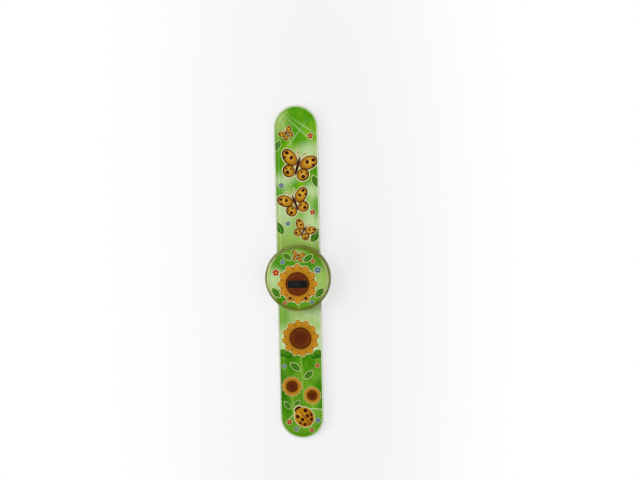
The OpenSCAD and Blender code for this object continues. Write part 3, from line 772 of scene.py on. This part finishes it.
def facePrint():
    material, tree, shader = newMaterial("facePrint")
    sheet, place = printPlace(tree)
    parts = split(tree, place)
    low = grain(tree, stretched(tree, sheet, 0.09, 0.09, 0), 1.0, 2.0)
    color = layOver(tree, ink["midGreen"], ink["lightGreen"], ramp(tree, low, 0.42, 0.6))
    blurs = ((-10, 9, 15, 12, "darkGreen", 0.9), (9, 8, 13, 12, "darkGreen", 0.85),
             (0, 16, 16, 8, "lightGreen", 0.8), (-15, -1, 13, 13, "mint", 0.85),
             (15, -2, 13, 16, "paleGreen", 0.95), (-9, -1, 9, 9, "paleGreen", 0.8))
    for x, y, w, h, name, amount in blurs:
        color = softPatch(tree, place, color, ink[name], x, y, w, h, 0, amount)
    field = layOver(tree, ink["darkGreen"], ink["grass"], ramp(tree, parts[0], -13, 10))
    color = layOver(tree, color, field, grassEdge(tree, sheet, place, -9.6, 1.8, 1.6))
    color = dab(tree, place, color, ink["stem"], 0.4, -18, 1.6, 12, 4, 0.2)
    color = addLeaves(tree, place, color, ((-6.6, 14.6, 4.0, 58), (7.4, 13.4, 4.2, -52),
                                           (-14.6, -9.4, 4.6, 40), (14.4, -9.6, 4.6, -44)))
    color = stamp(tree, place, color, sunflower, 0, -3.6, 13.6, 0)
    color = stamp(tree, place, color, butterfly, 0.6, 14.6, 4.9, -14)
    color = addBlossoms(tree, place, color, 20, ((13.6, 5.6, 2.5, "blue"), (-14.4, 4.0, 2.6, "red"),
                                                 (-9.8, 11.0, 1.7, "blue"), (10.6, 11.4, 1.6, "red"),
                                                 (-8.8, -16.2, 1.6, "red"), (9.4, -15.8, 1.6, "blue")))
    # painted shade: the print is darkened to olive towards its rim, where the film turns down, less so at the
    # sides, which get a pale painted highlight
    rim = ramp(tree, span(tree, place), face["radius"] - 2.2, face["radius"] - 0.1, 0.0, 0.8)
    sideways = ramp(tree, calc(tree, "ABSOLUTE", parts[0]), 12, 19)
    color = layOver(tree, color, layOver(tree, ink["paintedRimShade"], ink["paintedRimHighlight"], sideways), rim)
    smear = grain(tree, sheet, 0.35, 5.0, 0.6)
    dress(tree, shader, color, ramp(tree, smear, 0.3, 0.75, 0.16, 0.3),
          {"Specular IOR Level": 0.25, "Coat Weight": 0.12, "Coat Roughness": 0.08, "IOR": 1.5})
    ripple = grain(tree, sheet, 0.2, 2.0)
    skin = grain(tree, sheet, 5.0, 2.0)
    bumped(tree, shader, calc(tree, "MULTIPLY_ADD", skin, 0.05, ripple), 0.00008)
    return material


label = faceLabel([facePrint()])
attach(label, "head")
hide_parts("face_label")
print("face label built")


# moulded plastic of the case, the strap plate and the buttons

def mouldedPlastic(name, tone, darker, rough=(0.28, 0.42), skinDepth=0.000012):
    material, tree, shader = newMaterial(name)
    place = millimetres(tree)
    cloud = grain(tree, place, 0.16, 4.0)
    speck = grain(tree, place, 6.0, 2.0)
    color = layOver(tree, paint(*darker), paint(*tone), ramp(tree, cloud, 0.3, 0.65))
    color = layOver(tree, color, paint(*darker), ramp(tree, speck, 0.62, 0.8, 0.0, 0.35))
    # rubbed patches are a little paler
    rubbed = grain(tree, stretched(tree, place, 0.5, 0.5, 1.6), 1.0, 5.0, 0.65)
    pale = [min(255, c + 30) for c in tone]
    color = layOver(tree, color, paint(*pale), ramp(tree, rubbed, 0.56, 0.72, 0.0, 0.35))
    dress(tree, shader, color, ramp(tree, grain(tree, place, 0.5, 5.0, 0.6), 0.3, 0.75, *rough), {"IOR": 1.5})
    bumped(tree, shader, calc(tree, "MULTIPLY_ADD", speck, 0.6, grain(tree, place, 14.0, 2.0)), skinDepth)
    return material


casePlastic = mouldedPlastic("casePlastic", (128, 140, 40), (106, 112, 26))
platePlastic = mouldedPlastic("strapPlatePlastic", (124, 136, 42), (104, 112, 28), (0.36, 0.52), 0.00002)
buttonPlastic = mouldedPlastic("buttonPlastic", (62, 20, 10), (44, 12, 6), (0.22, 0.36))

button = {"radius": 0.9, "flange": 1.7, "stem": 0.8, "ledge": 8.99, "flangeThick": 0.7, "round": 0.12}
for name, (x, y) in zip(("set_button", "time_button"), face["buttons"]):
    low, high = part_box(name)
    bottom, top = low.z / mm, high.z / mm
    r, f, s = button["radius"], button["flange"], button["stem"]
    upper, lower = button["ledge"], button["ledge"] - button["flangeThick"]
    edge = button["round"]
    # stem, flange, then a shaft with a dished top
    profile = [(0, bottom), (s - 0.15, bottom), (s, bottom + 0.15), (s, lower)]
    profile += [(f - edge, lower), (f, lower + edge), (f, upper - edge), (f - edge, upper), (r, upper)]
    profile += [(r, top - 0.32), (r - 0.04, top - 0.17), (r - 0.13, top - 0.07), (r - 0.26, top - 0.01),
                (r - 0.4, top), (r - 0.55, top - 0.05), (0, top - 0.09)]
    cap = turned(name + "_cap", profile, x, y, [buttonPlastic])
    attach(cap, name)
    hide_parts(name)
print("buttons built")

# snap domes: a steel cap on the board under each button
snapDome = {"radius": 2.2, "height": 0.5, "sheet": 0.12, "give": 0.65, "rings": 8}
domeCurve = (snapDome["radius"] ** 2 + snapDome["height"] ** 2) / (2 * snapDome["height"])
domeInner = math.sqrt(domeCurve ** 2 - (domeCurve - snapDome["height"] + snapDome["sheet"]) ** 2)
domeSteel = metal("domeSteel", (204, 200, 186), (170, 166, 152), (0.2, 0.36), (6, 0.8, 6))


def capHeight(r):
    return snapDome["height"] - domeCurve + math.sqrt(domeCurve ** 2 - r * r)


for name, (x, y) in zip(("set", "time"), face["buttons"]):
    low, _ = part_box(name + "_dome")
    foot = low.z / mm
    steps = [i / snapDome["rings"] for i in range(snapDome["rings"] + 1)]
    profile = [(domeInner * t, foot + capHeight(domeInner * t) - snapDome["sheet"]) for t in steps]
    profile += [(snapDome["radius"] * t, foot + capHeight(snapDome["radius"] * t)) for t in reversed(steps)]
    dome = turned(f"{name}_snap_dome", profile, x, y, [domeSteel])
    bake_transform(dome)
    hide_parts(name + "_dome")
print("snap domes built")


# display window

def clearAcrylic():
    material, tree, shader = newMaterial("windowAcrylic")
    haze = grain(tree, stretched(tree, millimetres(tree), 0.25, 0.5, 1), 1.0, 3.0)
    color = layOver(tree, paint(236, 240, 240), paint(246, 248, 248), haze)
    dress(tree, shader, color, ramp(tree, haze, 0.35, 0.8, 0.015, 0.05),
          {"Transmission Weight": 1.0, "IOR": 1.49, "Specular IOR Level": 0.3})
    return material


lensLow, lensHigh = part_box("window_lens")
lensSize = (lensHigh - lensLow) / mm
windowY = (lensLow.y + lensHigh.y) / 2 / mm
lensShape = {"corner": 0.5, "edge": 0.12}
lens = plate("window_clear_lens", 0, windowY, lensSize.x, lensSize.y, lensShape["corner"],
             lensLow.z / mm, lensHigh.z / mm, lensShape["edge"], [clearAcrylic()])
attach(lens, "head")
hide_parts("window_lens")
print("window built")

display = {"digits": (-4.3, -1.65, 1.75, 4.4), "size": 1.42, "slant": -6, "faint": 0.5,
           "off": paint(32, 35, 31), "colonX": 0.05, "colonY": (0.6, -0.6), "colonSize": 0.4}


def drawEight(tree, place, tint):
    # all seven bars of a digit, as they show while they are off
    bars = [(0, y, 0.9, 0.2) for y in (1, 0, -1)]
    bars += [(x, y, 0.2, 0.8) for y in (0.5, -0.5) for x in (0.56, -0.56)]
    cover = None
    for x, y, w, h in bars:
        mask = bar(tree, place, x, y, w, h, 0.04)
        cover = mask if cover is None else calc(tree, "MAXIMUM", cover, mask)
    return layOver(tree, tint, paint(12, 12, 10), 0.2), cover


def darkDisplay():
    material, tree, shader = newMaterial("displayPolariser")
    place = millimetres(tree)
    flat = addNode(tree, "VectorMath", {0: place, 1: (1, 1, 0)}, operation="MULTIPLY").outputs[0]
    parts = split(tree, flat)
    # painted reflection: the polariser is paler on its left and near black on its right
    color = layOver(tree, paint(48, 54, 50), paint(20, 19, 14), ramp(tree, parts[0], 0.6, 2.6))
    cloud = ramp(tree, grain(tree, flat, 0.25, 2.0), 0.45, 0.8, 0.0, 0.3)
    color = layOver(tree, color, paint(58, 64, 59), cloud)
    eight = motif("segmentBars", drawEight)
    for x in display["digits"]:
        color = stamp(tree, flat, color, eight, x, windowY, display["size"], display["slant"],
                      display["off"], display["faint"])
    for y in display["colonY"]:
        across = display["colonSize"]
        dot = oval(tree, flat, display["colonX"], windowY + y, across, across, 0, 0.08)
        color = layOver(tree, color, display["off"], calc(tree, "MULTIPLY", dot, display["faint"]))
    dress(tree, shader, color, ramp(tree, grain(tree, place, 0.5, 3.0), 0.3, 0.7, 0.3, 0.4),
          {"Specular IOR Level": 0.2})
    bumped(tree, shader, grain(tree, place, 9.0, 2.0), 0.000002)
    return material


# finishes of the pieces that come straight from the frame

def boardLaminate():
    material, tree, shader = newMaterial("boardLaminate")
    place = millimetres(tree)
    tracks = {"Vector": place, "Scale": 0.5, "Mortar Size": 0.035, "Mortar Smooth": 0.2}
    cells = addNode(tree, "TexBrick", tracks).outputs["Fac"]
    weave = grain(tree, place, 3.0, 2.0)
    color = layOver(tree, paint(20, 92, 52), paint(28, 112, 62), weave)
    color = layOver(tree, color, paint(66, 150, 84), ramp(tree, cells, 0.2, 0.9, 0.0, 0.8))
    dress(tree, shader, color, ramp(tree, weave, 0.3, 0.7, 0.32, 0.5))
    bumped(tree, shader, calc(tree, "MULTIPLY_ADD", cells, 0.8, weave), 0.00002)
    return material


def stripedRubber():
    material, tree, shader = newMaterial("connectorRubber")
    place = millimetres(tree)
    layers = {"Vector": place, "Scale": 1.6, "Distortion": 0.4, "Detail": 1.0}
    stripes = addNode(tree, "TexWave", layers, bands_direction="X").outputs["Fac"]
    color = layOver(tree, paint(214, 150, 158), paint(26, 24, 25), ramp(tree, stripes, 0.45, 0.6))
    dress(tree, shader, color, ramp(tree, grain(tree, place, 3.0), 0.3, 0.7, 0.55, 0.75))
    bumped(tree, shader, stripes, 0.00001)
    return material


def chipResin():
    material, tree, shader = newMaterial("chipResin")
    cloud = grain(tree, millimetres(tree), 0.8, 4.0)
    color = layOver(tree, paint(16, 16, 18), paint(38, 37, 38), ramp(tree, cloud, 0.4, 0.8))
    dress(tree, shader, color, ramp(tree, cloud, 0.3, 0.8, 0.12, 0.34))
    bumped(tree, shader, cloud, 0.00003)
    return material


def capacitorCeramic():
    # tinned at both ends
    material, tree, shader = newMaterial("capacitorCeramic")
    place = millimetres(tree)
    low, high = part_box("chip_capacitors")
    fromMiddle = calc(tree, "SUBTRACT", split(tree, place)[1], (low.y + high.y) / 2 / mm)
    ends = ramp(tree, calc(tree, "ABSOLUTE", fromMiddle), 0.56, 0.62)
    speck = grain(tree, place, 5.0, 3.0)
    body = layOver(tree, paint(150, 120, 84), paint(178, 146, 104), speck)
    tinned = layOver(tree, paint(168, 168, 166), paint(206, 206, 202), speck)
    dress(tree, shader, layOver(tree, body, tinned, ends), ramp(tree, speck, 0.3, 0.7, 0.35, 0.55))
    tree.links.new(ends, shader.inputs["Metallic"])
    bumped(tree, shader, speck, 0.00001)
    return material


def displayGlass():
    material, tree, shader = newMaterial("displayGlass")
    tint = grain(tree, millimetres(tree), 0.3, 3.0)
    color = layOver(tree, paint(168, 186, 166), paint(190, 204, 186), tint)
    dress(tree, shader, color, ramp(tree, tint, 0.3, 0.7, 0.04, 0.12),
          {"Transmission Weight": 0.7, "IOR": 1.52})
    return material


finishes = {
    "case_plastic": casePlastic,
    "strap_plate": platePlastic,
    "polariser_film": darkDisplay(),
    "display_glass": displayGlass(),
    "reflector_film": metal("reflectorFilm", (206, 208, 200), (176, 178, 170), (0.3, 0.5), (0.6, 8, 8)),
    "frame_plastic": mouldedPlastic("frameBlackPlastic", (44, 44, 46), (30, 30, 32), (0.4, 0.6)),
    "connector_rubber": stripedRubber(),
    "board_laminate": boardLaminate(),
    "chip_resin": chipResin(),
    "crystal_metal": metal("crystalNickel", (206, 206, 208), (168, 168, 172), (0.2, 0.38), (0.5, 9, 9)),
    "capacitor_ceramic": capacitorCeramic(),
    "cell_steel": metal("cellSteel", (212, 212, 214), (176, 177, 180), (0.18, 0.36), (7, 0.6, 7)),
    "contact_metal": metal("contactBronze", (206, 168, 96), (168, 130, 70), (0.24, 0.42), (0.6, 9, 9)),
    "screw_steel": metal("screwSteel", (196, 197, 200), (150, 152, 156), (0.24, 0.44), (5, 5, 1)),
    "spring_steel": springSteel,
}
sharpEdge = 30  # degrees
slotOf = {part["node"]: part["material_slot"] for part in frame["record"]["subparts"]}
dressed = 0
for name, node in cadNodes.items():
    if node.hide_render:
        continue
    # the strap plate has a finish of its own, the others go by slot
    finish = finishes.get(name) or finishes[slotOf[name]]
    node.data.materials.clear()
    node.data.materials.append(finish)
    node.data.polygons.foreach_set("use_smooth", [True] * len(node.data.polygons))
    node.data.set_sharp_from_angle(angle=math.radians(sharpEdge))
    level = node.modifiers.new("evenShading", "WEIGHTED_NORMAL")
    level.keep_sharp = True
    dressed += 1
print("finishes on", dressed, "frame nodes")


# floor, light and camera

stageSet = {
    "floor": 60.0, "whiteNear": 0.65, "whiteFar": 1.0, "along": 0.3, "fade": (0.03, 0.15), "footAbove": 2.8,
    "horizon": 0.6, "overhead": 0.08, "bounce": 0.5, "skyTop": 0.8, "skyline": 0.02,
    # softboxes by place in metres, width, height and watts
    "keySoftbox": ((-0.5, 0.32, 0.62), 0.6, 0.6, 3.8),
    "fillSoftbox": ((0.6, -0.1, 0.55), 0.6, 0.6, 2.1),
    "edgeStrip": ((-0.42, -0.1, 0.2), 0.5, 0.1, 1.0),
}

bpy.ops.mesh.primitive_plane_add(size=stageSet["floor"], location=(0, 0, 0))
floor = bpy.context.object
floor.name = "paleFloor"
floorPaint, tree, shader = newMaterial("paleFloor")
shader.inputs["Roughness"].default_value = 0.9
shader.inputs["Specular IOR Level"].default_value = 0.1
where = objectPlace(tree)
tone = grain(tree, where, 6.0, 3.0)
tree.links.new(layOver(tree, paint(240, 240, 241), paint(244, 244, 244), tone), shader.inputs["Base Color"])
# white to the eye and in mirrors, less so close to the watch, where its shadow falls
seen = addNode(tree, "LightPath", {}).outputs
direct = calc(tree, "MAXIMUM", seen["Is Camera Ray"], seen["Is Glossy Ray"])
direct = calc(tree, "MAXIMUM", direct, seen["Is Transmission Ray"])
fromWatch = span(tree, stretched(tree, where, 1.0, stageSet["along"], 0.0))
share = ramp(tree, fromWatch, *stageSet["fade"], stageSet["whiteNear"], stageSet["whiteFar"])
white = addNode(tree, "Emission", {"Color": (1, 1, 1, 1), "Strength": 1.0}).outputs[0]
whitened = {0: calc(tree, "MULTIPLY", direct, share), 1: shader.outputs[0], 2: white}
mixed = addNode(tree, "MixShader", whitened).outputs[0]
# seen from below, the floor is clear
clear = tree.nodes.new("ShaderNodeBsdfTransparent").outputs[0]
behind = tree.nodes.new("ShaderNodeNewGeometry").outputs["Backfacing"]
oneSided = addNode(tree, "MixShader", {0: behind, 1: mixed, 2: clear}).outputs[0]
tree.links.new(oneSided, tree.nodes["Material Output"].inputs["Surface"])
floor.data.materials.append(floorPaint)
floor.visible_diffuse = False

# the watch stands on its band once that curls, so the floor keeps under every link
for half, tip in (("upper", band["upperTip"]), ("lower", band["lowerTip"])):
    _, _, middles = linkPlan(tip)
    feet = [(i, middles[i], band["back"] + stageSet["footAbove"]) for i in range(1, band["links"] + 1)]
    for i, y, z in feet + [(band["links"], tip, band["back"])]:
        foot = addObject(f"{half}_foot_{i}", None)
        foot.location = (0, y * mm, z * mm)
        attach(foot, f"{half}_link_{i}")
        keep = floor.constraints.new("FLOOR")
        keep.target = foot
        keep.floor_location = "FLOOR_NEGATIVE_Z"

# a white tent, bright round the sides, dim overhead and plain white to the eye
world = bpy.data.worlds.new("softRoom")
bpy.context.scene.world = world
world.use_nodes = True
tent = world.node_tree
upward = split(tent, tent.nodes.new("ShaderNodeTexCoord").outputs["Generated"])[2]
around = ramp(tent, upward, 0.0, stageSet["skyTop"], stageSet["horizon"], stageSet["overhead"])
seen = addNode(tent, "LightPath", {}).outputs
mirrorRay = calc(tent, "MAXIMUM", seen["Is Glossy Ray"], seen["Is Transmission Ray"])
underneath = calc(tent, "MULTIPLY_ADD", mirrorRay, 1 - stageSet["bounce"], stageSet["bounce"])
below = ramp(tent, upward, stageSet["skyline"], -stageSet["skyline"])
strength = calc(tent, "MULTIPLY_ADD", below, calc(tent, "SUBTRACT", underneath, around), around)
strength = calc(tent, "MAXIMUM", strength, seen["Is Camera Ray"])
tent.nodes["Background"].inputs["Color"].default_value = (1, 1, 1, 1)
tent.links.new(strength, tent.nodes["Background"].inputs["Strength"])

for name in ("keySoftbox", "fillSoftbox", "edgeStrip"):
    place, width, height, watts = stageSet[name]
    lamp = bpy.data.lights.new(name, "AREA")
    lamp.shape = "RECTANGLE"
    lamp.size, lamp.size_y, lamp.energy = width, height, watts
    holder = addObject(name, lamp)
    holder.location = place
    holder.rotation_euler = (-Vector(place)).to_track_quat("-Z", "Y").to_euler()

lensView = {"place": (80.17, 68.97, 590.36), "turn": (-4.405, 6.275, -1.186), "focal": 50.0,
            "sensor": 36.0, "clip": (0.01, 20)}
camera = bpy.data.cameras.new("photoCamera")
camera.lens, camera.sensor_width, camera.sensor_fit = lensView["focal"], lensView["sensor"], "HORIZONTAL"
camera.clip_start, camera.clip_end = lensView["clip"]
cameraHolder = addObject("photoCamera", camera)
cameraHolder.location = [v * mm for v in lensView["place"]]
cameraHolder.rotation_euler = [math.radians(v) for v in lensView["turn"]]
bpy.context.scene.camera = cameraHolder
bpy.context.scene.view_settings.view_transform = "Standard"
print("stage lit")
